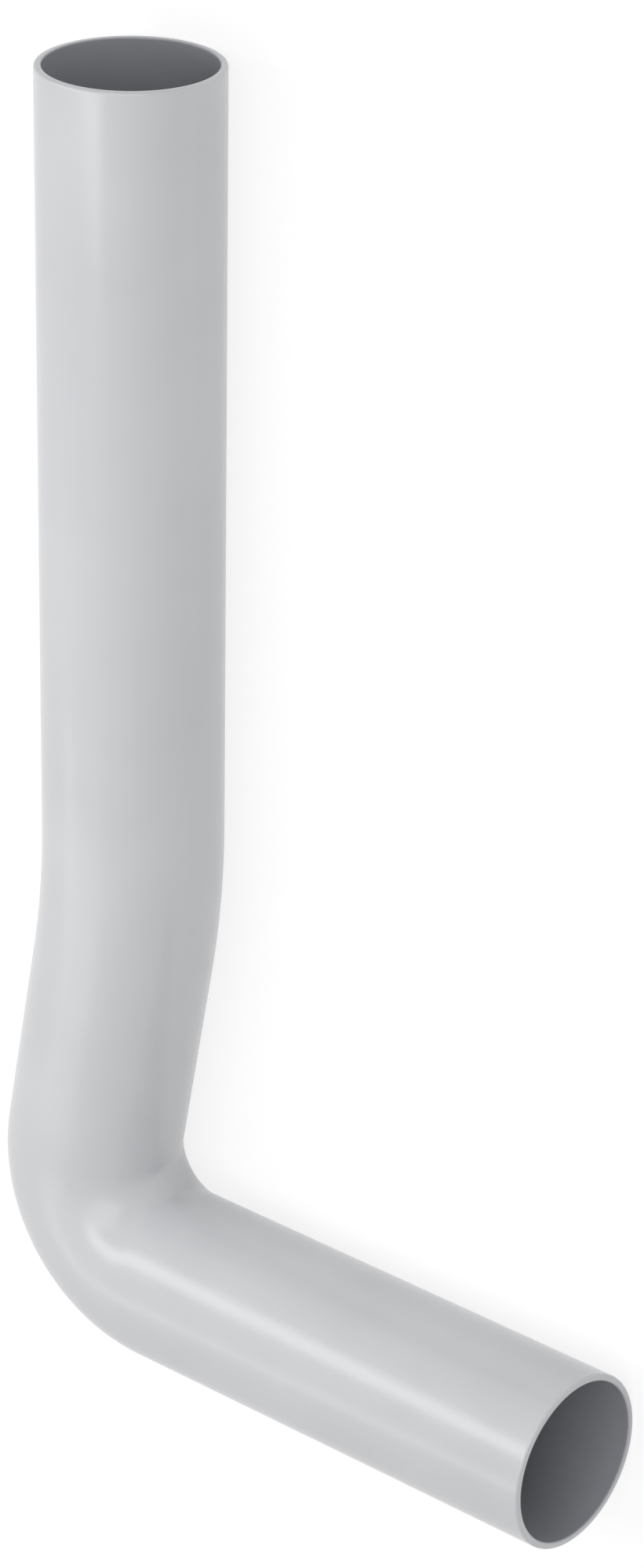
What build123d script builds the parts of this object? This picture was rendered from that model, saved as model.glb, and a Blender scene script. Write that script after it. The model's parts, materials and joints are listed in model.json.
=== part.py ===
from build123d import *
import os

# Toilet flush bend: one bent plastic tube that carries the flush down from the cistern and forward to the pan.
# It lies on its side, with its axis in the XY plane. The origin is the middle of the cistern mouth,
# +Y points out of that mouth and +X points out of the pan mouth.

# Tube
outside_diameter = 44.0
wall = 1.8

# Route of the tube's axis
rise = 310.0  # cistern mouth down to the axis of the pan leg
reach = 141.5  # axis of the cistern leg out to the pan mouth
slant_rise = 101.5  # kink of the offset bend above the axis of the pan leg
setback = 18.8  # how far the slanted run steps back behind the cistern leg

# Bends
offset_bend_radius = 200.0  # on the tube's axis
crook_radius = 5.5  # outside of the tube, in the crook of the main bend

# Cut ends, with their edges eased
outer_edge_round = 0.6
inner_edge_round = 0.4

outer_radius = outside_diameter / 2
bore_radius = outer_radius - wall
main_bend_radius = outer_radius + crook_radius


def axis_route():
    cistern_mouth = (0, 0)
    kink = (0, slant_rise - rise)
    heel = (-setback, -rise)
    pan_mouth = (reach, -rise)
    return FilletPolyline(cistern_mouth, kink, heel, pan_mouth, radius=[offset_bend_radius, main_bend_radius])


def bent_tube(route):
    mouth_plane = Plane(origin=route @ 0, z_dir=route % 0)
    ring = mouth_plane * (Circle(outer_radius) - Circle(bore_radius))
    return sweep(ring, path=route)


def end_edges(tube, which):
    cut_ends = tube.faces().filter_by(GeomType.PLANE)
    return [face.edges().sort_by(SortBy.LENGTH)[which] for face in cut_ends]


def ease_ends(tube):
    tube = fillet(end_edges(tube, -1), outer_edge_round)
    return fillet(end_edges(tube, 0), inner_edge_round)


flush_bend = ease_ends(bent_tube(axis_route()))

os.makedirs("parts", exist_ok=True)
export_step(flush_bend, "parts/flush_bend.step")
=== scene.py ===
import json

import bpy
import numpy as np
from mathutils import Matrix, Vector


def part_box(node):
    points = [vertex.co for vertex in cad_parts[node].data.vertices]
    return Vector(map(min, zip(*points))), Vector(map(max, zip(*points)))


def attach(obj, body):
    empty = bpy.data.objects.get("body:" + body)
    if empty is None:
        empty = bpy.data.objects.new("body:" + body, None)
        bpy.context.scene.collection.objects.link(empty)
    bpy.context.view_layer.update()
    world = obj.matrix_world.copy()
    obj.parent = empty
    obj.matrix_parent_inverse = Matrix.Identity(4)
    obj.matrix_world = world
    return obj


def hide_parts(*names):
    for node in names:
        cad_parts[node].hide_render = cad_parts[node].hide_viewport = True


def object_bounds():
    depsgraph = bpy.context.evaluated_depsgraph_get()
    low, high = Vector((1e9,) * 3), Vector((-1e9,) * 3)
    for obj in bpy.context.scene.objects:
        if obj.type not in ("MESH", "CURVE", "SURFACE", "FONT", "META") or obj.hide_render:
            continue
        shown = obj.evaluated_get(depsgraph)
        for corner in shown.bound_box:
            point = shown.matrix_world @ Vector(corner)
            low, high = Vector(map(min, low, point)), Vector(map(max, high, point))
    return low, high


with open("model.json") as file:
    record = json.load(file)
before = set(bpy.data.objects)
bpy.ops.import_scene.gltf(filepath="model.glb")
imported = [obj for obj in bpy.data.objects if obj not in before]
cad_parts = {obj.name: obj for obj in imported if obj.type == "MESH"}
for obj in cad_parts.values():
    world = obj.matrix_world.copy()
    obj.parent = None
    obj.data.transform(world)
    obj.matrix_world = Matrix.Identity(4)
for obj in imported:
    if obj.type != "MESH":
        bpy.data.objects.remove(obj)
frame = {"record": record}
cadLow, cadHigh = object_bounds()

millimetre = 0.001
mounts = {mount["name"]: mount for mount in frame["record"]["mounts"]}


# Small helpers for shader nodes

def addNode(tree, kind, **inputs):
    node = tree.nodes.new(kind)
    for name, value in inputs.items():
        node.inputs[name.replace("_", " ")].default_value = value
    return node


def attributeNode(tree, name):
    node = tree.nodes.new("ShaderNodeAttribute")
    node.attribute_name = name
    return node


# A noise field on the straightened tube, with its own stretch along the tube
def noiseOnTube(tree, straightened, scale, stretch, detail):
    mapping = addNode(tree, "ShaderNodeMapping", Scale=(1, 1, 1 / stretch))
    noise = addNode(tree, "ShaderNodeTexNoise", Scale=scale, Detail=detail)
    tree.links.new(straightened, mapping.inputs["Vector"])
    tree.links.new(mapping.outputs["Vector"], noise.inputs["Vector"])
    return noise.outputs["Fac"]


def mapRange(tree, value, low, high, newLow, newHigh):
    node = addNode(tree, "ShaderNodeMapRange", From_Min=low, From_Max=high, To_Min=newLow, To_Max=newHigh)
    tree.links.new(value, node.inputs["Value"])
    return node.outputs["Result"]


def mathNode(tree, operation, first, second):
    node = tree.nodes.new("ShaderNodeMath")
    node.operation = operation
    for socket, value in zip(node.inputs, (first, second)):
        if isinstance(value, (int, float)):
            socket.default_value = value
        else:
            tree.links.new(value, socket)
    return node.outputs["Value"]


# Most of one field and a share of another
def blendFields(tree, first, second, share):
    kept = mathNode(tree, "MULTIPLY", first, 1 - share)
    return mathNode(tree, "ADD", kept, mathNode(tree, "MULTIPLY", second, share))


def mixColour(tree, fac, first, second):
    node = tree.nodes.new("ShaderNodeMix")
    node.data_type = "RGBA"
    tree.links.new(fac, node.inputs["Factor"])
    for name, value in (("A", first), ("B", second)):
        socket = [s for s in node.inputs if s.name == name and s.type == "RGBA"][0]
        if isinstance(value, tuple):
            socket.default_value = (*value, 1)
        else:
            tree.links.new(value, socket)
    return [s for s in node.outputs if s.type == "RGBA"][0]


# Flush bend: one tube, carried along straight runs and two bends

tubeSettings = dict(
    outerRadius=mounts["cistern_end"]["dims"]["r_mm"] * millimetre,
    wall=1.8 * millimetre,
    rise=-mounts["pan_end"]["pos_m"][1],  # cistern mouth down to the axis of the pan leg
    reach=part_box("flush_bend")[1][0],  # axis of the cistern leg out to the pan mouth
    slantRise=101.5 * millimetre,  # kink of the offset bend above the pan leg
    setback=18.8 * millimetre,  # slanted run, behind the cistern leg
    offsetBendRadius=200 * millimetre,
    crookRadius=5.5 * millimetre,  # outside of the tube, in the crook
    outerEdgeRound=0.6 * millimetre,
    innerEdgeRound=0.4 * millimetre,
    holdWidth=0.15 * millimetre,  # rings that keep the shading of the rounds to themselves
    evenRingsInset=2.4 * millimetre,  # from each end to the first of the evenly spaced rings
    ringsOutside=300,
    ringsInside=150,
    pointsRound=144,
    stepsPerRound=6,
)


# The axis as spans of one curvature each. Down the cistern leg, back round the offset bend,
# down the slant, forward round the main bend and out along the pan leg.
def axisSpans(s):
    slant = np.arctan2(s["setback"], s["slantRise"])
    mainTurn = slant + np.pi / 2
    mainRadius = s["outerRadius"] + s["crookRadius"]
    offsetTangent = s["offsetBendRadius"] * np.tan(slant / 2)
    mainTangent = mainRadius * np.tan(mainTurn / 2)
    return (
        (s["rise"] - s["slantRise"] - offsetTangent, 0.0),
        (s["offsetBendRadius"] * slant, -1 / s["offsetBendRadius"]),
        (np.hypot(s["setback"], s["slantRise"]) - offsetTangent - mainTangent, 0.0),
        (mainRadius * mainTurn, 1 / mainRadius),
        (s["reach"] + s["setback"] - mainTangent, 0.0),
    )


# Point and heading at each distance along the axis. In a span of curvature c, after a distance d, the heading
# has turned by c*d, and the chord is d*sin(c*d/2)/(c*d/2) long and points half that turn away from the start.
def axisAt(distance, spans):
    point, heading, begin = np.zeros(2), -np.pi / 2, 0.0
    points, headings = np.zeros((len(distance), 2)), np.zeros(len(distance))
    for length, curvature in spans:
        here = distance >= begin
        d = distance[here] - begin
        towards = heading + curvature * d / 2
        chord = d * np.sinc(curvature * d / (2 * np.pi))
        points[here] = point + chord[:, None] * np.stack([np.cos(towards), np.sin(towards)], axis=1)
        headings[here] = heading + curvature * d
        towards = heading + curvature * length / 2
        chord = length * np.sinc(curvature * length / (2 * np.pi))
        point = point + chord * np.array([np.cos(towards), np.sin(towards)])
        heading, begin = heading + curvature * length, begin + length
    return points, headings


# The wall's section as a closed line of (distance, radius): out along the outer wall, over the pan end,
# back along the bore and over the cistern end. Each end is two quarter rounds with a flat between them.
def wallOutline(s, length):
    outer, bore = s["outerRadius"], s["outerRadius"] - s["wall"]
    big, small, hold = s["outerEdgeRound"], s["innerEdgeRound"], s["holdWidth"]
    turn = np.linspace(0, np.pi / 2, s["stepsPerRound"] + 1)
    outerRound = np.stack([length - big + big * np.sin(turn), outer - big + big * np.cos(turn)], axis=1)
    flat = np.array([[length, outer - big - hold], [length, bore + small + hold]])
    innerRound = np.stack(
        [length - small + small * np.cos(turn), bore + small - small * np.sin(turn)], axis=1
    )
    panEnd = np.concatenate([outerRound, flat, innerRound])
    cisternEnd = panEnd[::-1] * (-1, 1) + (length, 0)

    first, last = s["evenRingsInset"], length - s["evenRingsInset"]
    evenOutside = np.linspace(first, last, s["ringsOutside"])
    evenInside = np.linspace(last, first, s["ringsInside"])
    along = np.concatenate([[big + hold], evenOutside, [length - big - hold]])
    back = np.concatenate([[length - small - hold], evenInside, [small + hold]])
    outerWall = np.stack([along, np.full_like(along, outer)], axis=1)
    boreWall = np.stack([back, np.full_like(back, bore)], axis=1)
    return np.concatenate([outerWall, panEnd, boreWall, cisternEnd])


# Every point of the outline is swung once round the axis: centre + radius*(cos(a)*sideways + sin(a)*up)
def makeTube(name, s):
    spans = axisSpans(s)
    outline = wallOutline(s, sum(length for length, _ in spans))
    distance, radius = outline[:, 0], outline[:, 1]
    centre, heading = axisAt(distance, spans)
    angle = np.linspace(0, 2 * np.pi, s["pointsRound"], endpoint=False)
    side = radius[:, None] * np.cos(angle)
    up = radius[:, None] * np.sin(angle)
    x = centre[:, :1] - np.sin(heading)[:, None] * side
    y = centre[:, 1:] + np.cos(heading)[:, None] * side
    points = np.stack([x, y, up], axis=2).reshape(-1, 3)

    # the grid closes on itself both ways
    rings, around = len(outline), s["pointsRound"]
    i, j = np.meshgrid(np.arange(rings), np.arange(around), indexing="ij")
    iNext, jNext = (i + 1) % rings, (j + 1) % around
    corners = [i * around + j, i * around + jNext, iNext * around + jNext, iNext * around + j]
    faces = np.stack(corners, axis=2).reshape(-1, 4)

    mesh = bpy.data.meshes.new(name)
    mesh.from_pydata(points, [], faces)
    mesh.polygons.foreach_set("use_smooth", np.ones(len(faces), dtype=bool))

    # where each point would be if the tube were straight, and how far it is through the wall
    straightened = np.stack([side, up, np.broadcast_to(distance[:, None], side.shape)], axis=2)
    layer = mesh.attributes.new("straightened", "FLOAT_VECTOR", "POINT")
    layer.data.foreach_set("vector", straightened.astype(np.float32).ravel())
    depth = np.broadcast_to(((s["outerRadius"] - radius) / s["wall"])[:, None], side.shape)
    layer = mesh.attributes.new("wallDepth", "FLOAT", "POINT")
    layer.data.foreach_set("value", depth.astype(np.float32).ravel())
    mesh.update()
    mesh.validate()

    tube = bpy.data.objects.new(name, mesh)
    bpy.context.collection.objects.link(tube)
    return tube


# Grey plastic: satin and slightly cloudy, with a fine grain and the faintest lines drawn along the tube. The
# bore is painted a darker grey as shade.

plasticSettings = dict(
    paleGrey=(0.639, 0.645, 0.661),
    deepGrey=(0.584, 0.590, 0.609),
    # painted shade: the bore is the same plastic, darkened here to stand in for the shade deep inside the
    # tube
    paintedBoreShade=(0.36, 0.365, 0.395),
    boreDepth=(0.75, 1),  # depth through the wall, as a share, over which the bore's painted shade comes in
    cloudScale=30,  # features about 30 mm across
    cloudDetail=2,
    drawnLineScale=300,  # about 3 mm across
    drawnLineStretch=60,
    drawnLineDetail=1,
    grainScale=1400,  # about 0.7 mm
    grainDetail=2,
    fieldRange=(0.2, 0.8),  # all that the noise fields reach, so that none is cut off flat
    linesInTone=0.12,  # shares: the rest is clouds, and grain in the relief
    linesInSheen=0.3,
    linesInRelief=0.3,
    roughness=(0.20, 0.27),
    reliefHeight=0.02 * millimetre,
    reliefStrength=0.2,
    refractiveIndex=1.5,
)


def greyPlastic(s):
    material = bpy.data.materials.new("greyPlastic")
    material.use_nodes = True
    tree = material.node_tree
    shader = tree.nodes["Principled BSDF"]
    straightened = attributeNode(tree, "straightened").outputs["Vector"]
    wallDepth = attributeNode(tree, "wallDepth").outputs["Fac"]

    clouds = noiseOnTube(tree, straightened, s["cloudScale"], 1, s["cloudDetail"])
    drawnLines = noiseOnTube(
        tree, straightened, s["drawnLineScale"], s["drawnLineStretch"], s["drawnLineDetail"]
    )
    grain = noiseOnTube(tree, straightened, s["grainScale"], 1, s["grainDetail"])

    tone = blendFields(tree, clouds, drawnLines, s["linesInTone"])
    outside = mixColour(tree, mapRange(tree, tone, *s["fieldRange"], 0, 1), s["deepGrey"], s["paleGrey"])
    # painted shade: the bore takes a darker grey than the outside, standing in for the shade inside the tube
    colour = mixColour(tree, mapRange(tree, wallDepth, *s["boreDepth"], 0, 1), outside, s["paintedBoreShade"])
    tree.links.new(colour, shader.inputs["Base Color"])

    sheen = blendFields(tree, clouds, drawnLines, s["linesInSheen"])
    tree.links.new(mapRange(tree, sheen, *s["fieldRange"], *s["roughness"]), shader.inputs["Roughness"])

    relief = blendFields(tree, grain, drawnLines, s["linesInRelief"])
    bump = addNode(tree, "ShaderNodeBump", Strength=s["reliefStrength"], Distance=s["reliefHeight"])
    tree.links.new(relief, bump.inputs["Height"])
    tree.links.new(bump.outputs["Normal"], shader.inputs["Normal"])
    shader.inputs["IOR"].default_value = s["refractiveIndex"]
    return material


tube = makeTube("flushBendTube", tubeSettings)
tube.data.materials.append(greyPlastic(plasticSettings))
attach(tube, "root")
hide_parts("flush_bend")
print("flush bend:", len(tube.data.vertices), "points")


# Floor and world: white where they are seen or mirrored, and a plain level of light for everything else

stageSettings = dict(
    floorSize=8.0,
    floorColour=(0.88, 0.88, 0.88),
    floorWhite=1.1,  # brings the unshaded floor to white
    shadowShare=0.25,  # how much of the floor's own shading shows in the white
    worldWhite=1.0,
    skyLevel=0.42,  # the light that the world gives
)


def seesWhite(tree):
    path = tree.nodes.new("ShaderNodeLightPath")
    either = mathNode(tree, "MAXIMUM", path.outputs["Is Camera Ray"], path.outputs["Is Glossy Ray"])
    return mathNode(tree, "MAXIMUM", either, path.outputs["Is Transmission Ray"])


def mixShaders(tree, fac, first, second, output):
    mix = tree.nodes.new("ShaderNodeMixShader")
    tree.links.new(fac, mix.inputs["Fac"])
    tree.links.new(first, mix.inputs[1])
    tree.links.new(second, mix.inputs[2])
    tree.links.new(mix.outputs["Shader"], output.inputs["Surface"])


# A flat square centred under the tube
def makeFloor(s, low, high):
    middle = (low + high) / 2
    half = s["floorSize"] / 2
    square = np.array([[-1, -1], [1, -1], [1, 1], [-1, 1]]) * half + (middle.x, middle.y)
    points = np.column_stack([square, np.full(len(square), -tubeSettings["outerRadius"])])
    mesh = bpy.data.meshes.new("floor")
    mesh.from_pydata(points, [], [(0, 1, 2, 3)])
    floor = bpy.data.objects.new("floor", mesh)
    bpy.context.collection.objects.link(floor)

    material = bpy.data.materials.new("whiteFloor")
    material.use_nodes = True
    tree = material.node_tree
    tree.nodes.clear()
    output = tree.nodes.new("ShaderNodeOutputMaterial")
    matt = addNode(tree, "ShaderNodeBsdfDiffuse", Color=(*s["floorColour"], 1))
    white = addNode(tree, "ShaderNodeEmission", Strength=s["floorWhite"])
    fac = mathNode(tree, "MULTIPLY", seesWhite(tree), 1 - s["shadowShare"])
    mixShaders(tree, fac, matt.outputs["BSDF"], white.outputs["Emission"], output)
    mesh.materials.append(material)
    return floor


def makeWorld(s):
    world = bpy.data.worlds.new("studio")
    world.use_nodes = True
    tree = world.node_tree
    tree.nodes.clear()
    output = tree.nodes.new("ShaderNodeOutputWorld")
    sky = addNode(tree, "ShaderNodeBackground", Strength=s["skyLevel"])
    white = addNode(tree, "ShaderNodeBackground", Strength=s["worldWhite"])
    for background in (sky, white):
        background.inputs["Color"].default_value = (1, 1, 1, 1)
    mixShaders(tree, seesWhite(tree), sky.outputs["Background"], white.outputs["Background"], output)
    bpy.context.scene.world = world


floor = makeFloor(stageSettings, cadLow, cadHigh)
makeWorld(stageSettings)
print("floor and world made")


# A turn that takes X to the first direction, Y as near as can be to the second, and Z square to both
def turnTo(first, second):
    x = Vector(first).normalized()
    z = x.cross(Vector(second)).normalized()
    return Matrix((x, z.cross(x), z)).transposed().to_4x4()


# Three soft boxes above the tube. The main one is long and narrow and lies nearly along the pan leg,
# mostly behind the cistern leg. The weaker long one, beyond the heel, is mirrored in the offset bend.
# The large square one, on the camera's side, adds to the even light.

softBoxSettings = dict(
    mainBox=dict(
        place=(-0.25, -0.06, 0.54),
        lengthwise=(0.88, -0.30, 0.37),
        crosswise=(0.32, 0.95, 0),
        length=0.8,
        width=0.16,
        power=1.75,
    ),
    fillBox=dict(
        place=(-0.35, -0.58, 0.58),
        lengthwise=(1, 0, 0),
        crosswise=(0, 1, 0),
        length=0.7,
        width=0.14,
        power=0.4,
    ),
    frontBox=dict(
        place=(0.81, 0.30, 1.33),
        lengthwise=(0.88, -0.16, -0.45),
        crosswise=(0, 0.94, -0.33),
        length=1.3,
        width=1.3,
        power=8.1,
    ),
)


def makeSoftBox(name, s):
    light = bpy.data.lights.new(name, "AREA")
    light.shape = "RECTANGLE"
    light.size, light.size_y = s["length"], s["width"]
    light.energy = s["power"]
    lamp = bpy.data.objects.new(name, light)
    lamp.matrix_world = Matrix.Translation(s["place"]) @ turnTo(s["lengthwise"], s["crosswise"])
    bpy.context.collection.objects.link(lamp)


for name, settings in softBoxSettings.items():
    makeSoftBox(name, settings)
print("soft boxes made")


# Camera: looks down on the tube as it lies, turned so that the cistern leg stands upright in the picture

cameraSettings = dict(
    place=(0.7461, 0.33639, 0.79583),
    sideways=(0.7532, 0.0132, -0.6577),  # to the right in the picture
    upwards=(-0.2900, 0.9041, -0.3140),
    lens=115.221,  # in millimetres, like the sensor
    sensorWidth=36,
)


def makeCamera(s):
    camera = bpy.data.objects.new("camera", bpy.data.cameras.new("camera"))
    camera.data.lens = s["lens"]
    camera.data.sensor_width = s["sensorWidth"]
    camera.matrix_world = Matrix.Translation(s["place"]) @ turnTo(s["sideways"], s["upwards"])
    bpy.context.collection.objects.link(camera)
    bpy.context.scene.camera = camera


makeCamera(cameraSettings)
bpy.context.scene.view_settings.view_transform = "Standard"
print("camera set")
